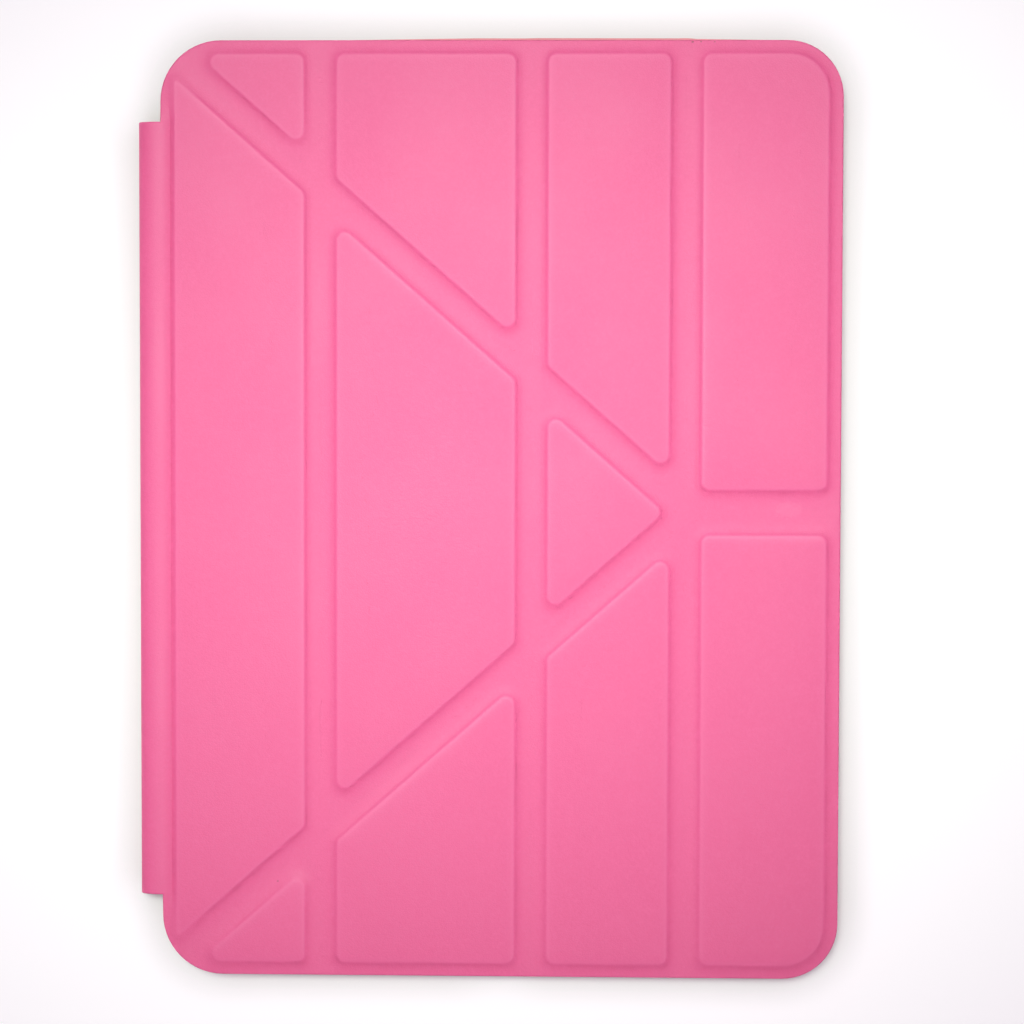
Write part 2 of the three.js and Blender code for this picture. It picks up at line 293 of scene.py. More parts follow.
def crest(x):
    """The spine rounds down from its crest into the valley beside the first board."""
    run = min(max((x - SPINE_CREST) / (SPINE_VALLEY - SPINE_CREST), 0.0), 1.0)
    return CREST_RISE - CREST_DROP * run * run


def groove_lift(x, y, distance=None):
    """The leather's height over the flat groove, outside the panels."""
    distance = panel_distance(x, y) if distance is None else distance
    hollow = np.interp(distance, HOLLOW_REACH, HOLLOW_UP)
    by_spine = smooth((SPINE_VALLEY + 0.6 - x) / 0.6) * along_spine(y)
    return float(hollow + (crest(x) - hollow) * by_spine)


def along_spine(y):
    """One beside the spine, fading to nothing past its ends."""
    return smooth((SPINE_HALF + 4 - abs(y)) / 4)


def bell(away, width):
    return math.exp(-(away / width) ** 2)


def painted_light_mask(inset):
    """A board's edge gets a painted highlight, above 0, and its foot painted shade, below 0."""
    return bell(inset - 0.75, 0.6) - bell(inset + 0.8, 0.75)


# ---- mesh helpers
def piece(name, vertices, faces, smooth_angle=None, rest=None, masks=None):
    """A mesh object from points in millimetres, with their unrolled places and masks kept on it."""
    mesh = bpy.data.meshes.new(name)
    mesh.from_pydata([Vector(v) * MM for v in vertices], [], faces)
    mesh.validate()
    finish_normals(mesh)
    mesh.shade_smooth()
    if smooth_angle is not None:
        mesh.set_sharp_from_angle(angle=math.radians(smooth_angle))
    store_rest(mesh, rest)
    for mask, values in (masks or {}).items():
        mesh.attributes.new(mask, "FLOAT", "POINT").data.foreach_set("value", values)
    made = bpy.data.objects.new(name, mesh)
    bpy.context.scene.collection.objects.link(made)
    return made


def finish_normals(mesh):
    builder = bmesh.new()
    builder.from_mesh(mesh)
    bmesh.ops.recalc_face_normals(builder, faces=builder.faces)
    builder.to_mesh(mesh)
    builder.free()


def store_rest(mesh, rest=None):
    """Keeps each point's place on the flat sheet, so that the grain bends with the leather."""
    places = [v.co for v in mesh.vertices] if rest is None else [Vector(p) * MM for p in rest]
    flat = [value for place in places for value in place]
    mesh.attributes.new("rest", "FLOAT_VECTOR", "POINT").data.foreach_set("vector", flat)


def ripple(x, y, size, seed):
    return noise.noise(Vector((x / size, y / size, seed)))


def settle(made, body, node):
    """Puts a piece on its body, in the place of its node, whose part it hides."""
    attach(made, body)
    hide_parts(node)
    return made


class Sheet:
    """A flat sheet in plan whose upper and lower heights are given ring by ring."""

    def __init__(self):
        self.points = []
        self.edges = []
        self.upper = []
        self.lower = []
        # Per point: above 0 lighter, as wear on cut edges and a painted highlight on board edges; below 0
        # painted shade at the panels' feet.
        self.wear_and_painted_light = []

    def add(self, points, upper, lower, wear_and_painted_light=0.0, closed=True, joined=True):
        first = len(self.points)
        count = len(points)
        self.points += [Vector(p[:2]) for p in points]
        self.upper += upper if isinstance(upper, list) else [upper] * count
        self.lower += lower if isinstance(lower, list) else [lower] * count
        self.wear_and_painted_light += wear_and_painted_light if isinstance(wear_and_painted_light, list) else [wear_and_painted_light] * count
        if joined:
            self.edges += [(first + i, first + i + 1) for i in range(count - 1)]
            if closed:
                self.edges.append((first + count - 1, first))
        return list(range(first, first + count))

    def build(self, name, boundary, holes=()):
        points, _, faces, sources, _, _ = delaunay_2d_cdt(
            self.points, self.edges, [boundary], 1, 1e-5, True)
        kept = []
        for face in faces:
            middle = sum((points[i] for i in face), Vector((0, 0))) / len(face)
            if not any(inside(middle, hole) for hole in holes):
                kept.append(face)
        count = len(points)
        source = [ids[0] for ids in sources]
        vertices = [(p.x, p.y, self.upper[s]) for p, s in zip(points, source)]
        vertices += [(p.x, p.y, self.lower[s]) for p, s in zip(points, source)]
        uses = {}
        for face in kept:
            for i, a in enumerate(face):
                b = face[(i + 1) % len(face)]
                uses[(a, b)] = uses.get((a, b), 0) + 1
        walls = [(a, a + count, b + count, b) for a, b in uses if (b, a) not in uses]
        below = [[i + count for i in reversed(face)] for face in kept]
        wear_and_painted_light = [self.wear_and_painted_light[s] for s in source]
        return piece(name, vertices, kept + below + walls, 50, masks={"wear_and_painted_light": wear_and_painted_light + wear_and_painted_light})


def inside(point, outline):
    """Whether a point lies in a closed outline, by counting the sides to its right."""
    found = False
    for i, a in enumerate(outline):
        b = outline[i - 1]
        if (a[1] > point[1]) != (b[1] > point[1]):
            if point[0] < (b[0] - a[0]) * (point[1] - a[1]) / (b[1] - a[1]) + a[0]:
                found = not found
    return found


def arc(centre, radius, start, end, segments=14):
    turns = [math.radians(start + (end - start) * k / segments) for k in range(segments + 1)]
    return [Vector((centre[0] + radius * math.cos(t), centre[1] + radius * math.sin(t))) for t in turns]


def straight(start, end, step=STEP):
    start, end = Vector(start), Vector(end)
    count = max(1, round((end - start).length / step))
    return [start.lerp(end, k / count) for k in range(count + 1)]


def rounded_rectangle(left, bottom, right, top, radius, segments):
    """Counter-clockwise from the lower right corner."""
    points = arc((right - radius, bottom + radius), radius, -90, 0, segments)
    points += arc((right - radius, top - radius), radius, 0, 90, segments)
    points += arc((left + radius, top - radius), radius, 90, 180, segments)
    return points + arc((left + radius, bottom + radius), radius, 180, 270, segments)


# ---- cover: plan of each column
def seam_before(column):
    return HINGE_EDGE if column == 0 else CREASES[column - 1] + CREASE_HALF


def column_run(column, inset):
    """A column's free edges, as open runs from seam to seam, moved in by `inset`."""
    low = seam_before(column)
    high = RIGHT - inset if column == 3 else CREASES[column] - CREASE_HALF
    top = HALF - inset
    radius = COVER_RADIUS - inset
    if column == 0:
        left, radius = LEFT + inset, COVER_RADIUS_LEFT - inset
        upper = straight((high, top), (left + radius, top))
        upper += arc((left + radius, top - radius), radius, 90, 180)
        upper += straight((left, top - radius), (left, SPINE_HALF))
        lower = [Vector((p.x, -p.y)) for p in reversed(upper)]
        return [tidy(upper), tidy(lower)]
    if column == 3:
        run = straight((low, -top), (high - radius, -top))
        run += arc((high - radius, -top + radius), radius, -90, 0)
        run += straight((high, -top + radius), (high, top - radius))
        run += arc((high - radius, top - radius), radius, 0, 90)
        run += straight((high - radius, top), (low, top))
        return [tidy(run)]
    return [straight((high, top), (low, top)), straight((low, -top), (high, -top))]


def tidy(points):
    kept = [points[0]]
    for point in points[1:]:
        if (point - kept[-1]).length > 1e-4:
            kept.append(point)
    return kept


def seam_rows():
    return [y for y, drop in end_rows(HALF, SEAM_STEP) if not drop]


def column_seams(column):
    """The seams that join a column's free edges into its boundary: the left and the right one."""
    low = seam_before(column)
    if column == 0:
        before = (straight((LEFT, SPINE_HALF), (low, SPINE_HALF))[1:]
                  + straight((low, SPINE_HALF), (low, -SPINE_HALF))[1:]
                  + straight((low, -SPINE_HALF), (LEFT, -SPINE_HALF))[1:-1])
    else:
        before = [Vector((low, y)) for y in reversed(seam_rows())]
    after = [Vector((CREASES[column] - CREASE_HALF, y)) for y in seam_rows()] if column < 3 else []
    return before, after


def column_boundary(column, sheet, height, lower, wear_and_painted_light):
    """Adds a column's whole boundary to a sheet and returns its point numbers, counter-clockwise."""
    loop, edge = [], []
    for run, seam in zip(column_run(column, 0.0), column_seams(column)):
        loop += run + seam
        edge += [True] * len(run) + [False] * len(seam)
    rise = [height(p) - (ROLL[0][1] if free else 0.0) for p, free in zip(loop, edge)]
    masks = [wear_and_painted_light if free else painted_light_mask(-panel_distance(*p)) for p, free in zip(loop, edge)]
    return sheet.add(loop, rise, lower, masks)


def grid_points(column, step):
    low = LEFT if column == 0 else CREASES[column - 1]
    high = RIGHT if column == 3 else CREASES[column]
    across = max(2, round((high - low) / step))
    along = round(2 * HALF / step)
    for i in range(across):
        for j in range(along):
            yield low + (i + 0.5) * (high - low) / across, -HALF + (j + 0.5) * 2 * HALF / along


def leather_height(panel, rise, x, y):
    """The leather over a board: a slight crown, sunk tips and the uneven lie of glued leather."""
    crown = CROWN * (1 - math.exp(min(BEVEL[-1][0] - panel.depth(x, y), 0.0) / 5))
    sunk = HOLLOW_UP[0] + (rise + crown - HOLLOW_UP[0]) * panel.relief(x, y)
    return GROOVE + sunk + 0.03 * ripple(x, y, 23, 1.7) * rise


# ---- cover: leather
def groove_height(point):
    return GROOVE + groove_lift(*point)


def on_column(column, point, margin):
    """Whether a point of a groove lies on this column, clear of its seams and free edges."""
    low = seam_before(column)
    high = RIGHT if column == 3 else CREASES[column] - CREASE_HALF
    edge = ROLL[-1][0] + margin
    corner = COVER_RADIUS_LEFT if column == 0 else COVER_RADIUS
    over = Vector((max(LEFT + corner - point.x, point.x - RIGHT + corner, 0.0),
                   max(abs(point.y) - HALF + corner, 0.0)))
    return low + margin < point.x < high - margin and over.length < corner - edge


def leather_column(column):
    sheet = Sheet()
    boundary = column_boundary(column, sheet, groove_height, SKIN_LOW, 0.4)
    for inset, drop in ROLL[1:]:
        for run in column_run(column, inset):
            heights = [groove_height(p) - drop for p in run]
            sheet.add(run, heights, SKIN_LOW, 0.3 if drop else 0.0, closed=False)
    pocket = SKIN_TOP - LEATHER
    for panel in panels_on(column):
        for distance in HOLLOW_RINGS:
            ring = panel.ring(-distance, 2.0)
            heights = [GROOVE + groove_lift(*p, distance) for p in ring]
            sheet.add(ring, heights, SKIN_LOW, painted_light_mask(-distance))
        for distance in HOLLOW_POINTS:
            for p in panel.ring(-distance, 1.6):
                if on_column(column, p, 0.35) and panel_distance(*p) > distance - 0.05:
                    sheet.add([p], groove_height(p), SKIN_LOW, painted_light_mask(-distance), joined=False)
        for inset, rise in BEVEL:
            ring = panel.ring(inset)
            under = SKIN_LOW if inset < POCKET_INSET else pocket
            near_spine = [smooth((SPINE_VALLEY + 1.2 - p.x) / 0.6) * along_spine(p.y) for p in ring]
            foot = [rise - (BEVEL[-1][1] - rise) * FOOT_BY_SPINE * near for near in near_spine]
            heights = [leather_height(panel, f, *p) for f, p in zip(foot, ring)]
            sheet.add(ring, heights, under, painted_light_mask(inset))
        for x, y in grid_points(column, 4.5):
            inward = panel.depth(x, y)
            if inward > BEVEL[-1][0] + 1.5:
                sheet.add([(x, y)], leather_height(panel, BEVEL[-1][1], x, y), pocket, joined=False)
    made = sheet.build(f"leather_column_{column + 1}", boundary)
    return settle(made, f"column_{column + 1}", f"cover_skin_{column + 1}")


def end_rows(half, step=4.0):
    """Places along a strip that runs from one end of the case to the other, with its ends rolled."""
    inner = half - ROLL[-1][0]
    plain = straight((0, -inner), (0, inner), step)
    rows = [(-half + inset, drop) for inset, drop in ROLL[:-1]]
    rows += [(p.y, 0.0) for p in plain]
    rows += [(half - inset, drop) for inset, drop in reversed(ROLL[:-1])]
    return rows


def painted_groove_light(x, y, z):
    """Painted shade beside the panels and a painted highlight on the spine's crest, on the front of the
    case only.
    """
    painted_crest_highlight = 0.4 * bell(x - SPINE_CREST, 1.7)
    return painted_light_mask(-panel_distance(x, y)) + painted_crest_highlight if z > GROOVE / 2 else 0.0


def strip(name, rows, section, mask=None):
    """A strip swept along Y. `section(y, drop)` gives its upper and lower points and flat places."""
    vertices, rest, faces = [], [], []
    for y, drop in rows:
        upper, lower, flat = section(y, drop)
        vertices += [(x, y, z) for x, z in upper] + [(x, y, z) for x, z in lower]
        rest += [(s, y, 0.0) for s in flat] * 2
    count = len(upper)
    stride = 2 * count
    for r in range(len(rows) - 1):
        a, b = r * stride, (r + 1) * stride
        for i in range(count - 1):
            faces.append((a + i, a + i + 1, b + i + 1, b + i))
            faces.append((a + count + i + 1, a + count + i, b + count + i, b + count + i + 1))
        for i in (0, count - 1):
            faces.append((a + i, b + i, b + count + i, a + count + i))
    last = (len(rows) - 1) * stride
    for r in (0, last):
        for i in range(count - 1):
            faces.append((r + i, r + i + 1, r + count + i + 1, r + count + i))
    masks = {"wear_and_painted_light": [mask(*v) for v in vertices]} if mask else None
    return piece(name, vertices, faces, 50, rest=rest, masks=masks)


def across_crease(made):
    """Bakes the transform of a strip between the two columns beside a crease into its mesh."""
    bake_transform(made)
    return made


def leather_crease(index):
    middle = CREASES[index]
    places = np.linspace(-CREASE_HALF, CREASE_HALF, 17)

    def section(y, drop):
        upper = [(middle + s, groove_height((middle + s, y)) - drop) for s in places]
        lower = [(middle + s, SKIN_LOW) for s in places]
        return upper, lower, [middle + s for s in places]

    made = strip(f"leather_crease_{index + 1}", end_rows(HALF, SEAM_STEP), section, painted_groove_light)
    return across_crease(made)


# ---- cover: lining
# The lining rises a little between the boards: how far in from a panel's outline, how far up.
CHANNEL = [(-0.9, 0.22), (-0.3, 0.17), (0.3, 0.06), (0.9, 0.0)]
LINING_OUTER = LINING_LOW + CHANNEL[0][1]
PEEK, PEEK_UNEVEN = 0.5, 0.12
PEEK_START, PEEK_END = LEFT + 64, LEFT + 148


def trimmed(x, y):
    """Along the middle of the top edge the lining was trimmed a little proud of the leather."""
    if y < HALF - 0.02:
        return y
    fade = smooth((x - PEEK_START) / 24) * smooth((PEEK_END - x) / 8)
    return y + (PEEK + PEEK_UNEVEN * ripple(x, y, 9, 5.3)) * fade


def lining_column(column):
    sheet = Sheet()
    boundary = column_boundary(column, sheet, lambda p: LINING_HIGH, LINING_OUTER, 0.0)
    sheet.upper = [LINING_HIGH] * len(sheet.upper)
    sheet.points = [Vector((p.x, trimmed(*p))) for p in sheet.points]
    for inset in (0.3, 0.8):
        for run in column_run(column, inset):
            sheet.add(run, LINING_HIGH, LINING_OUTER - 0.1 * inset, closed=False)
    for panel in panels_on(column):
        for inset, rise in CHANNEL:
            sheet.add(panel.ring(inset, 6.0), LINING_HIGH, LINING_LOW + rise)
    made = sheet.build(f"lining_column_{column + 1}", boundary)
    return settle(made, f"column_{column + 1}", f"cover_lining_{column + 1}")


def lining_crease(index):
    middle = CREASES[index]
    places = np.linspace(-CREASE_HALF, CREASE_HALF, 13)

    def section(y, drop):
        upper = [(middle + s, LINING_HIGH) for s in places]
        lower = [(middle + s, LINING_OUTER) for s in places]
        return upper, lower, [middle + s for s in places]

    made = strip(f"lining_crease_{index + 1}", end_rows(HALF), section)
    for vertex in made.data.vertices:
        vertex.co.y = trimmed(vertex.co.x / MM, vertex.co.y / MM) * MM
    return across_crease(made)


# ---- spine
SPINE_LINING = 0.45


def spine_line(depth, squareness, raised):
    """The spine's section from the cover's hinge round to the back's, `depth` below its outer face."""
    middle_x = SPINE_CREST if raised else SPINE_HIGH.x
    middle_z = (GROOVE + (CREST_RISE if raised else 0.0)) / 2
    across = middle_x - SPINE_LOW.x - depth - (SPINE_SHY if squareness > 2 else 0.0)
    up = middle_z - depth
    places = np.linspace(HINGE_EDGE, middle_x + 0.25, 13)
    top = [Vector((x, GROOVE + (crest(x) if raised else 0.0) - depth)) for x in places]
    curve = []
    for u in np.linspace(-1, 1, 57):
        turn = math.pi / 2 * math.copysign(abs(u) ** 1.6, u)
        height = math.copysign(abs(math.sin(turn)) ** (2 / squareness), -turn)
        curve.append(Vector((middle_x - across * math.cos(turn), middle_z + up * height)))
    bottom = [Vector((x, depth)) for x in reversed(places)]
    return top + curve + bottom


def spine_piece(name, thickness, depth, part, squareness=2, raised=False):
    outer = spine_line(depth, squareness, raised)
    inner = spine_line(depth + thickness, 2, raised)
    lengths = [0.0]
    for a, b in zip(outer, outer[1:]):
        lengths.append(lengths[-1] + (b - a).length)
    first = next(i for i, p in enumerate(outer) if p.x < SPINE_EDGE)
    last = max(i for i, p in enumerate(outer) if p.x < SPINE_EDGE)
    ranges = {"front": range(0, first + 1), "spine": range(first, last + 1),
              "back": range(last, len(outer))}
    chosen = list(ranges[part])

    def section(y, drop):
        share = min(drop / thickness, 0.9)
        upper = [outer[i].lerp(inner[i], share) for i in chosen]
        lower = [inner[i] for i in chosen]
        return upper, lower, [HINGE_EDGE - lengths[i] for i in chosen]

    return strip(name, end_rows(SPINE_HALF), section, painted_groove_light)


def across_hinge(made):
    """Bakes the transform of a strip between the spine and the body that it hinges on into its mesh."""
    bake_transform(made)
    return made


def make_spine():
    outside = SPINE_SQUARENESS, True
    leather = spine_piece("leather_spine", LEATHER, 0.0, "spine", *outside)
    front = spine_piece("leather_hinge_front", LEATHER, 0.0, "front", *outside)
    back = spine_piece("leather_hinge_back", LEATHER, 0.0, "back", *outside)
    lining = spine_piece("lining_spine", SPINE_LINING, 1.4, "spine")
    fold = spine_piece("lining_hinge", SPINE_LINING, 0.92, "front")
    return ([settle(leather, "spine", "spine_skin"),
             across_hinge(front),
             across_hinge(back)],
            [settle(lining, "spine", "spine_lining"),
             across_hinge(fold)])


# ---- tray
FRAME_INSET = FRAME_LOW.x - LEFT
WALL = PLATE_LOW.x - FRAME_LOW.x - 0.1
WALL_END = PLATE_LOW.y - FRAME_LOW.y - 0.1
LIP = 0.5
WINDOW_MIDDLE = (RING_LOW + RING_HIGH) / 2
WINDOW_HALF = (RING_HIGH.x - RING_LOW.x) / 2
WINDOW_RADIUS = 7.9
CUT_DEPTH = 3.2
PORT_HEIGHT = 5.4
SPEAKERS = ((-1, -52), (-1, 52), (1, -52), (1, 26))
SPEAKER_HOLES, SPEAKER_STEP = 9, 2.5


def tray_outline(inset):
    """The frame's outer face moved in by `inset`. The short walls are a little thicker."""
    ends = inset * (WALL_END / WALL if inset > 0.5 else 1.0)
    return rounded_rectangle(LEFT + FRAME_INSET + inset, -HALF + FRAME_INSET + ends,
                             RIGHT - FRAME_INSET - inset, HALF - FRAME_INSET - ends,
                             COVER_RADIUS - FRAME_INSET - inset, 16)


def window_outline(grow):
    half = WINDOW_HALF + grow
    middle = WINDOW_MIDDLE
    return rounded_rectangle(middle.x - half, middle.y - half, middle.x + half, middle.y + half,
                             WINDOW_RADIUS + grow, 10)


def band(count, rows, closed=False):
    """The faces between one ring of points and the next."""
    faces = []
    for r in range(rows if closed else rows - 1):
        a, b = r * count, (r + 1) % rows * count
        for i in range(count):
            j = (i + 1) % count
            faces.append((a + i, a + j, b + j, b + i))
    return faces


def loft(name, outline, profile):
    """A closed band: a closed profile of (inset, height) carried round an outline."""
    rings = [outline(inset) for inset, _ in profile]
    vertices = [(p.x, p.y, z) for ring, (_, z) in zip(rings, profile) for p in ring]
    return piece(name, vertices, band(len(rings[0]), len(profile), True), 40)


def ring_piece(name, stations, ring_at, to_place, smooth_angle=None):
    """A solid lofted through closed rings, closed at both ends."""
    rings = [ring_at(station) for station in stations]
    count = len(rings[0])
    vertices = [to_place(station, p) for station, ring in zip(stations, rings) for p in ring]
    caps = [list(range(count)), list(range(len(vertices) - count, len(vertices)))]
    return piece(name, vertices, caps + band(count, len(stations)), smooth_angle)


def cutter(name, centre, along, height, radius, axis, flare=0.35):
    """A slot's shape, wider at both mouths, lying across a wall. `axis` is the way through the wall."""
    stations = [(-CUT_DEPTH, flare), (-CUT_DEPTH * 0.42, flare), (-CUT_DEPTH * 0.25, 0.0),
                (CUT_DEPTH * 0.25, 0.0), (CUT_DEPTH * 0.42, flare), (CUT_DEPTH, flare)]

    def ring_at(station):
        half, up = along / 2 + station[1], height / 2 + station[1]
        return rounded_rectangle(-half, -up, half, up, radius + station[1], 8)

    def to_place(station, p):
        if axis == "y":
            return centre[0] + p.x, centre[1] + station[0], centre[2] + p.y
        return centre[0] + station[0], centre[1] + p.x, centre[2] + p.y

    return ring_piece(name, stations, ring_at, to_place)


def cut(target, tools):
    for tool in tools:
        modifier = target.modifiers.new("cut", "BOOLEAN")
        modifier.operation = "DIFFERENCE"
        modifier.solver = "EXACT"
        modifier.object = tool
        apply_modifiers(target)
        bpy.data.objects.remove(tool)


def apply_modifiers(target):
    bpy.context.view_layer.update()
    evaluated = target.evaluated_get(bpy.context.evaluated_depsgraph_get())
    mesh = bpy.data.meshes.new_from_object(evaluated)
    target.modifiers.clear()
    target.data = mesh


BUTTONS = ("power_button", "volume_up_button", "volume_down_button")


def make_frame():
    base, rim = FRAME_LOW.z, FRAME_HIGH.z
    profile = [(WALL, base + 0.05), (1.0, base), (0.55, base + 0.06), (0.22, base + 0.28),
               (0.05, base + 0.7), (0.0, base + 1.2), (0.0, rim - 1.3), (0.06, rim - 0.75),
               (0.22, rim - 0.3), (0.5, rim - 0.06), (0.8, rim), (WALL + LIP - 0.45, rim),
               (WALL + LIP - 0.15, rim - 0.08), (WALL + LIP, rim - 0.28), (WALL + LIP - 0.05, rim - 0.45),
               (WALL, rim - 0.75), (WALL, base + 2.5), (WALL, base + 1.2)]
    made = loft("frame_moulding", tray_outline, profile)
    face = HALF - FRAME_INSET
    tools = [cutter("port", (MIDDLE, -face, PORT_HEIGHT), 15, 5.0, 2.49, "y")]
    for side, offset in SPEAKERS:
        for k in range(SPEAKER_HOLES):
            x = MIDDLE + offset + (k - SPEAKER_HOLES // 2) * SPEAKER_STEP
            tools.append(cutter("hole", (x, side * face, PORT_HEIGHT), 1.5, 1.5, 0.74, "y", 0.15))
    for name in BUTTONS:
        low, high = node_box(name)
        centre = (low + high) / 2
        if name == "power_button":
            centre.y = face
            tools.append(cutter("hole", centre, high.x - low.x - 1.3, 3.1, 1.5, "y"))
        else:
            centre.x = RIGHT - FRAME_INSET
            tools.append(cutter("hole", centre, high.y - low.y - 1.3, 3.1, 1.5, "x"))
    cut(made, tools)
    made.data.shade_smooth()
    made.data.set_sharp_from_angle(angle=math.radians(38))
    made.data.attributes.remove(made.data.attributes["rest"])
    store_rest(made.data)
    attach(made, "tray")
    corners = [f"corner_{end}_{side}" for end in ("top", "bottom") for side in ("left", "right")]
    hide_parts(*(f"frame_{side}" for side in WALLS), *corners)
    return made


def make_buttons():
    made = []
    for name in BUTTONS:
        low, high = node_box(name)
        centre = (low + high) / 2
        top_wall = name == "power_button"
        size = high - low
        length = (size.x if top_wall else size.y) - 1.8
        outer, inner = (high.y, low.y) if top_wall else (high.x, low.x)
        stations = [(inner + 0.02, 0.7), (inner + 0.08, 0.85), (inner + 0.26, 0.85), (inner + 0.3, 0.05),
                    (outer - 0.36, 0.0), (outer - 0.15, -0.06), (outer - 0.04, -0.2), (outer, -0.5)]

        def ring_at(station):
            half, up = length / 2 + station[1], 1.3 + station[1]
            return rounded_rectangle(-half, -up, half, up, up * 0.98, 8)

        def to_place(station, p):
            if top_wall:
                return centre.x + p.x, station[0], centre.z + p.y
            return station[0], centre.y + p.x, centre.z + p.y

        button = ring_piece(name + "_cap", stations, ring_at, to_place, 40)
        made.append(settle(button, name, name))
    return made


def back_run(inset):
    """The free edge of the back's leather, counter-clockwise from the spine round to the spine."""
    left, right = LEFT + FRAME_INSET + inset, RIGHT - FRAME_INSET - inset
    top, radius = HALF - FRAME_INSET - inset, COVER_RADIUS - FRAME_INSET - inset
    segments = 14
    points = rounded_rectangle(left, -top, right, top, radius, segments)
    last = points[-segments - 1:]
    return [Vector((left, -SPINE_HALF)), *last, *points[:-len(last)], Vector((left, SPINE_HALF))]


def make_back():
    """The leather on the back, whose hinge side runs on into the spine over the spine's length."""
    sheet = Sheet()
    roll = [(inset, drop * 0.8) for inset, drop in ROLL]
    loop = back_run(0.0)
    notch = [Vector((HINGE_EDGE, SPINE_HALF)), Vector((HINGE_EDGE, -SPINE_HALF))]
    boundary = sheet.add(loop + notch, BACK_TOP, [roll[0][1]] * len(loop) + [0.0, 0.0])
    for inset, rise in roll[1:]:
        sheet.add(back_run(inset), BACK_TOP, rise, closed=False)
    hole = window_outline(0.1)
    for inset, rise in roll:
        sheet.add(window_outline(0.1 + inset), BACK_TOP, rise)
    made = sheet.build("leather_back", boundary, [hole])
    return settle(made, "tray", "back_skin")


def tray_layer(name, low, high, rim, window, chamfer):
    """A flat layer in the tray. `rim` and `window` give each outline's offsets, below and on top."""
    sheet = Sheet()
    boundary = sheet.add(tray_outline(WALL + rim[0]), high.z - chamfer, low.z)
    sheet.add(tray_outline(WALL + rim[1]), high.z, low.z)
    hole = window_outline(window[0])
    sheet.add(hole, high.z - chamfer, low.z)
    sheet.add(window_outline(window[1]), high.z, low.z)
    return sheet.build(name, boundary, [hole])


def make_plate():
    made = tray_layer("plate_moulding", PLATE_LOW, PLATE_HIGH, (0.1, 0.25), (0.1, 0.25), 0.15)
    return settle(made, "tray", "tray_plate")


def make_bed():
    made = tray_layer("lining_bed", BED_LOW, BED_HIGH, (0.15, 0.3), (0.3, 0.5), 0.12)
    return settle(made, "tray", "tray_lining")


def make_camera_ring():
    low, high = RING_LOW.z, RING_HIGH.z
    profile = [(0.05, low + 0.1), (0.15, low), (0.5, low - 0.02), (0.8, low + 0.08), (0.97, low + 0.35),
               (1.0, low + 0.7), (1.0, high - 0.3), (0.92, high - 0.08), (0.7, high), (0.2, high),
               (0.03, high - 0.1)]
    made = loft("camera_trim", lambda inset: window_outline(-inset), profile)
    return settle(made, "tray", "camera_ring")


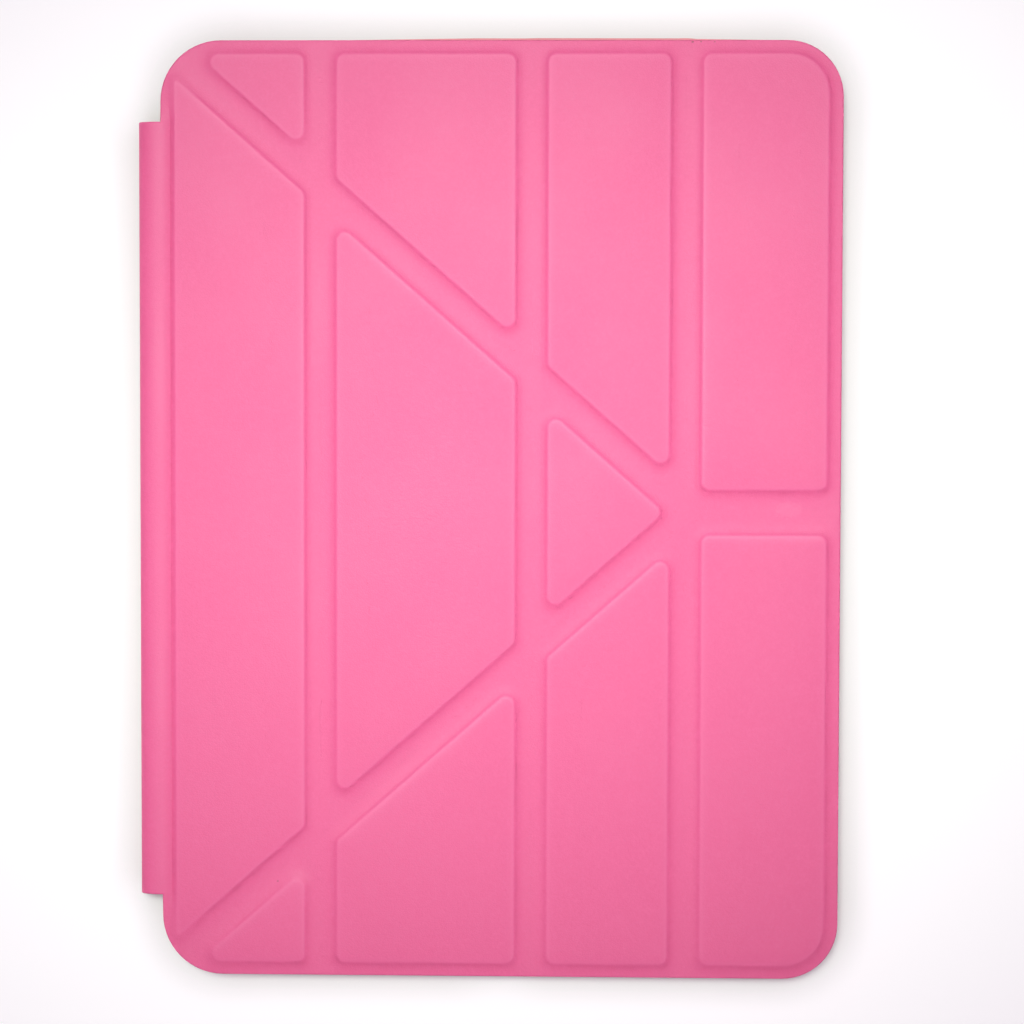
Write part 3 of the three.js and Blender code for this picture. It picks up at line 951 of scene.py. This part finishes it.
# ---- materials
class Material:
    """A short way to write a node material on one Principled shader."""

    def __init__(self, name, color, roughness, **sockets):
        self.made = bpy.data.materials.new(name)
        self.made.use_nodes = True
        self.tree = self.made.node_tree
        self.shader = self.tree.nodes["Principled BSDF"]
        self.shader.inputs["Base Color"].default_value = (*color, 1)
        self.shader.inputs["Roughness"].default_value = roughness
        for socket, value in sockets.items():
            self.shader.inputs[socket.replace("_", " ")].default_value = value
        self.height = None

    def node(self, kind, **settings):
        made = self.tree.nodes.new("ShaderNode" + kind)
        inputs = settings.pop("inputs", {})
        for key, value in settings.items():
            setattr(made, key, value)
        for key, value in inputs.items():
            self.put(made.inputs[key], value)
        return made

    def put(self, socket, value):
        if isinstance(value, bpy.types.NodeSocket):
            self.tree.links.new(value, socket)
        else:
            socket.default_value = value

    def place(self, scale=(1, 1, 1)):
        found = self.node("Attribute", attribute_name="rest", attribute_type="GEOMETRY")
        stretched = self.node("VectorMath", operation="MULTIPLY",
                              inputs={0: found.outputs["Vector"], 1: scale})
        return stretched.outputs[0]

    def mask(self, name):
        return self.node("Attribute", attribute_name=name, attribute_type="GEOMETRY").outputs["Fac"]

    def noise(self, size_mm, detail=3.0, stretch=(1, 1, 1), rough=0.55):
        made = self.node("TexNoise", inputs={"Vector": self.place(stretch), "Scale": 1000 / size_mm,
                                             "Detail": detail, "Roughness": rough})
        return made.outputs["Fac"]

    def cell_edges(self, size_mm):
        made = self.node("TexVoronoi", feature="DISTANCE_TO_EDGE",
                         inputs={"Vector": self.place(), "Scale": 1000 / size_mm})
        return made.outputs["Distance"]

    def span(self, value, low, high, to_low, to_high):
        made = self.node("MapRange", inputs={0: value, 1: low, 2: high, 3: to_low, 4: to_high})
        return made.outputs[0]

    def spread(self, value, to_low, to_high):
        return self.span(value, 0.3, 0.7, to_low, to_high)

    def mottle(self, value, color, low, high):
        return self.mix(self.spread(value, 0.0, 1.0), tone(color, low), tone(color, high))

    def math(self, operation, a, b=0.0):
        return self.node("Math", operation=operation, inputs={0: a, 1: b}).outputs[0]

    def mix(self, factor, a, b):
        made = self.node("Mix", data_type="RGBA")
        self.put(made.inputs[0], factor)
        self.put(made.inputs[6], a)
        self.put(made.inputs[7], b)
        return made.outputs[2]

    def blot(self, x, y, half_x, half_y):
        """One inside a small uneven oval on the sheet, nothing outside it."""
        aside = self.node("VectorMath", operation="SUBTRACT",
                          inputs={0: self.place(), 1: (x * MM, y * MM, 0)})
        size = (1 / (half_x * MM), 1 / (half_y * MM), 0)
        scaled = self.node("VectorMath", operation="MULTIPLY", inputs={0: aside.outputs[0], 1: size})
        reach = self.node("VectorMath", operation="LENGTH", inputs={0: scaled.outputs[0]})
        uneven = self.math("ADD", reach.outputs["Value"], self.spread(self.noise(0.7, 3), -0.3, 0.3))
        return self.span(uneven, 0.5, 1.0, 1.0, 0.0)

    def bump(self, height, depth_mm):
        inputs = {"Strength": 1.0, "Distance": depth_mm * MM, "Height": height}
        if self.height is not None:
            inputs["Normal"] = self.height
        self.height = self.node("Bump", inputs=inputs).outputs[0]

    def done(self, color=None, roughness=None):
        if color is not None:
            self.put(self.shader.inputs["Base Color"], color)
        if roughness is not None:
            self.put(self.shader.inputs["Roughness"], roughness)
        if self.height is not None:
            self.put(self.shader.inputs["Normal"], self.height)
        return self.made


def tone(color, factor):
    return (*(value * factor for value in color), 1)


# Small marks of use on the front: place on the sheet, half sizes, colour and strength.
MARKS = {
    "speck_on_top_edge": (LEFT + 142.4, HALF - 0.5, 0.4, 0.25, (0.3, 0.1, 0.09), 0.75),
    "speck_beside_it": (LEFT + 144.6, HALF - 0.45, 0.3, 0.2, (0.3, 0.1, 0.09), 0.7),
    "speck_further_on": (LEFT + 148.2, HALF - 0.5, 0.25, 0.2, (0.34, 0.12, 0.1), 0.6),
    "speck_near_foot": (LEFT + 31.3, -100.4, 0.35, 0.35, (0.42, 0.08, 0.14), 0.5),
    "scuff_in_gap": (LEFT + 168.5, 0.9, 4.4, 2.6, (0.95, 0.23, 0.43), 0.2),
    "rub_on_crease": (LEFT + 143.9, 12.5, 0.22, 9.0, (0.8, 0.11, 0.26), 0.3),
}

LEATHER_COLOR = (0.88, 0.138, 0.336)
# Lighter colour for worn cut edges and a painted highlight on board edges and the spine's crest.
WORN_AND_HIGHLIT_COLOR = (0.9, 0.17, 0.38, 1)
GRAIN_COLOR = (0.86, 0.12, 0.305, 1)
# Darker colour for painted shade at the panels' feet.
PAINTED_SHADE_COLOR = (0.79, 0.108, 0.262, 1)


def leather_material(name, marks):
    made = Material(name, LEATHER_COLOR, 0.5, Coat_Weight=0.05, Coat_Roughness=0.4)
    made.shader.inputs["Specular IOR Level"].default_value = 0.4
    grain = made.cell_edges(0.62)
    pebble = made.noise(0.85, 4, rough=0.65)
    cloud = made.noise(38, 2)
    fleck = made.noise(2.2, 4)
    across = made.noise(1.0, 3, (0.22, 1.6, 1))
    upright = made.noise(1.0, 3, (1.6, 0.22, 1))
    made.bump(made.span(grain, 0.0, 0.18, 0.0, 1.0), 0.02)
    made.bump(pebble, 0.05)
    made.bump(made.span(across, 0.62, 0.7, 1.0, 0.0), 0.008)
    made.bump(made.span(upright, 0.62, 0.7, 1.0, 0.0), 0.008)
    shade = made.mottle(cloud, LEATHER_COLOR, 0.975, 1.02)
    shade = made.mix(made.span(fleck, 0.35, 0.7, 0.0, 0.55), shade, GRAIN_COLOR)
    shade = made.mix(made.span(grain, 0.0, 0.06, 0.3, 0.0), shade, tone(LEATHER_COLOR, 0.8))
    shade = made.mix(made.span(pebble, 0.35, 0.65, 0.8, 0.0), shade, GRAIN_COLOR)
    # The mask's positive part lightens worn edges and paints highlights; its negative part paints shade
    # at the panels' feet.
    wear_and_painted_light = made.mask("wear_and_painted_light")
    worn_and_highlit = made.math("MAXIMUM", wear_and_painted_light, 0.0)
    painted_shade = made.math("MAXIMUM", made.math("MULTIPLY", wear_and_painted_light, -1.0), 0.0)
    shade = made.mix(made.math("MULTIPLY", worn_and_highlit, made.spread(fleck, 0.25, 0.45)), shade,
                     WORN_AND_HIGHLIT_COLOR)
    shade = made.mix(made.math("MULTIPLY", painted_shade, made.spread(fleck, 0.05, 0.2)), shade,
                     PAINTED_SHADE_COLOR)
    for x, y, half_x, half_y, color, strength in marks.values():
        blot = made.blot(x, y, half_x, half_y)
        shade = made.mix(made.math("MULTIPLY", blot, strength), shade, (*color, 1))
    rough = made.spread(cloud, 0.47, 0.55)
    return made.done(shade, made.math("SUBTRACT", rough, made.math("MULTIPLY", worn_and_highlit, 0.08)))


LINING_COLOR = (0.79, 0.34, 0.36)


def lining_material():
    made = Material("short_pile_microfibre", LINING_COLOR, 0.92, Sheen_Weight=0.5, Sheen_Roughness=0.4)
    made.shader.inputs["Sheen Tint"].default_value = (1.0, 0.8, 0.8, 1)
    fibre = made.noise(0.28, 5, rough=0.75)
    nap = made.noise(9, 3)
    drag = made.noise(3.0, 3, (0.35, 1.3, 1))
    made.bump(fibre, 0.05)
    made.bump(drag, 0.03)
    shade = made.mottle(nap, LINING_COLOR, 0.9, 1.05)
    shade = made.mix(made.spread(fibre, 0.3, 0.0), shade, tone(LINING_COLOR, 0.72))
    return made.done(shade, made.spread(drag, 0.86, 0.97))


TRAY_COLOR = (0.83, 0.24, 0.42)


def moulded_material(name, color, roughness, grain_mm=0.35):
    made = Material(name, color, roughness)
    spark = made.noise(grain_mm, 3)
    cloud = made.noise(22, 2)
    made.bump(spark, 0.018)
    shade = made.mottle(cloud, color, 0.95, 1.03)
    shade = made.mix(made.span(spark, 0.35, 0.7, 0.12, 0.0), shade, tone(color, 0.8))
    return made.done(shade, made.spread(cloud, roughness - 0.04, roughness + 0.06))


def board_material():
    color = (0.48, 0.41, 0.31)
    made = Material("pressed_fibreboard", color, 0.88)
    fibre = made.noise(1.1, 5, (0.4, 1.5, 1), 0.7)
    speck = made.noise(0.6, 3)
    made.bump(fibre, 0.04)
    shade = made.mottle(fibre, color, 0.8, 1.15)
    shade = made.mix(made.span(speck, 0.62, 0.72, 0.0, 0.5), shade, tone(color, 0.45))
    return made.done(shade, made.spread(fibre, 0.8, 0.95))


def strip_material():
    color = (0.8, 0.79, 0.75)
    made = Material("stiffening_sheet", color, 0.5)
    streak = made.noise(2.0, 3, (1.5, 0.15, 1))
    made.bump(streak, 0.01)
    shade = made.mottle(streak, color, 0.93, 1.02)
    return made.done(shade, made.spread(streak, 0.42, 0.58))


def steel_material():
    color = (0.55, 0.56, 0.58)
    made = Material("nickel_plate", color, 0.3, Metallic=1.0)
    brush = made.noise(0.6, 3, (2.0, 0.12, 1))
    stain = made.noise(4, 3)
    made.bump(brush, 0.004)
    shade = made.mix(made.span(stain, 0.35, 0.7, 0.0, 1.0), tone(color, 1.05), tone(color, 0.8))
    return made.done(shade, made.spread(brush, 0.22, 0.42))


def paint(objects, material):
    for each in objects:
        each.data.materials.clear()
        each.data.materials.append(material)


# ---- the case
leather = [leather_column(column) for column in range(4)]
leather += [leather_crease(index) for index in range(3)]
lining = [lining_column(column) for column in range(4)]
lining += [lining_crease(index) for index in range(3)]
spine_leather, spine_lining = make_spine()
lining += spine_lining + [make_bed()]
paint(leather, leather_material("fine_grained_leather", MARKS))
paint(spine_leather + [make_back()], leather_material("unmarked_leather", {}))
paint(lining, lining_material())
paint([make_frame(), make_plate()], moulded_material("bumper_plastic", TRAY_COLOR, 0.5))
paint(make_buttons(), moulded_material("button_plastic", (0.81, 0.2, 0.38), 0.4, 0.25))
paint([make_camera_ring()], moulded_material("trim_plastic", (0.62, 0.13, 0.28), 0.18, 0.6))

hidden = {"board": board_material(), "spine": strip_material(), "edge": steel_material()}
hidden["sleep"] = hidden["steel"] = hidden["edge"]
for name, node in frame["nodes"].items():
    if not node.hide_render:
        store_rest(node.data)
        paint([node], hidden[name.split("_")[0]])

# ---- floor, light, camera
FLOOR_SIZE = 2.5
FLOOR_COLOR, FLOOR_GLOW = (0.56, 0.66, 0.58), (0.56, 0.45, 0.54, 1)
SHADOW_REACH, SHADOW_DEPTH = 12, 1.6
ROOM_LIGHT, BACKDROP_LIGHT = 0.22, 0.95


def make_floor():
    """A pale floor that glows a little, and less beside what stands on it: a painted contact shadow,
    which the glow's colour tints lilac.
    """
    size = FLOOR_SIZE
    corners = [(-size, -size, 0), (size, -size, 0), (size, size, 0), (-size, size, 0)]
    mesh = bpy.data.meshes.new("floor")
    mesh.from_pydata(corners, [], [(0, 1, 2, 3)])
    floor = bpy.data.objects.new("floor", mesh)
    bpy.context.scene.collection.objects.link(floor)
    made = Material("pale_floor", FLOOR_COLOR, 0.85)
    made.shader.inputs["Emission Color"].default_value = FLOOR_GLOW
    # The glow fades where the case hems the floor in: a painted contact shadow.
    glow_outside_painted_shadow = made.node("AmbientOcclusion", inputs={"Distance": SHADOW_REACH * MM}).outputs["AO"]
    made.put(made.shader.inputs["Emission Strength"], made.math("POWER", glow_outside_painted_shadow, SHADOW_DEPTH))
    paint([floor], made.done())


def area_light(name, place, target, size, power, color=(1, 1, 1), spread=180):
    data = bpy.data.lights.new(name, "AREA")
    data.spread = math.radians(spread)
    data.shape = "RECTANGLE"
    data.size, data.size_y = size
    data.energy = power
    data.color = color
    light = bpy.data.objects.new(name, data)
    bpy.context.scene.collection.objects.link(light)
    light.location = place
    light.rotation_euler = (Vector(target) - Vector(place)).to_track_quat("-Z", "Y").to_euler()
    light.visible_camera = False


def make_lights():
    """A gridded softbox above the case, a wide lamp behind it, and a pale room."""
    area_light("softbox", (-0.06, 0.22, 1.2), (0.0, 0.004, 0), (0.36, 0.22), 0.445,
               (1.0, 0.99, 0.985), 26.5)
    area_light("ceiling", (-0.1, 0.3, 1.5), (0, 0, 0), (1.4, 1.4), 0.5, (0.98, 0.985, 1.0))
    world = bpy.data.worlds.new("studio")
    bpy.context.scene.world = world
    world.use_nodes = True
    nodes, links = world.node_tree.nodes, world.node_tree.links
    room = nodes["Background"]
    room.inputs["Color"].default_value = (0.97, 0.975, 1.0, 1)
    room.inputs["Strength"].default_value = ROOM_LIGHT
    backdrop = nodes.new("ShaderNodeBackground")
    backdrop.inputs["Color"].default_value = (1, 1, 1, 1)
    backdrop.inputs["Strength"].default_value = BACKDROP_LIGHT
    seen = nodes.new("ShaderNodeLightPath")
    choice = nodes.new("ShaderNodeMixShader")
    links.new(seen.outputs["Is Camera Ray"], choice.inputs[0])
    links.new(room.outputs[0], choice.inputs[1])
    links.new(backdrop.outputs[0], choice.inputs[2])
    links.new(choice.outputs[0], nodes["World Output"].inputs[0])


CAMERA_AIM = Vector((3.2, 0, 0))
CAMERA_SHIFT = Vector((-2.86, 0.64))
CAMERA_DISTANCE = 900
CAMERA_TURNS = (3.126, -1.953, -0.243)
LENS = 116.3


def make_camera():
    data = bpy.data.cameras.new("camera")
    data.lens = LENS
    data.sensor_width = 36
    data.clip_start, data.clip_end = 0.01, 20
    camera = bpy.data.objects.new("camera", data)
    bpy.context.scene.collection.objects.link(camera)
    turn = Matrix.Identity(3)
    for angle, axis in zip(CAMERA_TURNS, "XYZ"):
        turn = Matrix.Rotation(math.radians(angle), 3, axis) @ turn
    back = Vector((-CAMERA_SHIFT.x, -CAMERA_SHIFT.y, CAMERA_DISTANCE))
    camera.matrix_world = (Matrix.Translation((CAMERA_AIM + turn.transposed() @ back) * MM)
                           @ turn.transposed().to_4x4())
    bpy.context.scene.camera = camera


make_floor()
make_lights()
make_camera()
bpy.context.scene.view_settings.view_transform = "Standard"
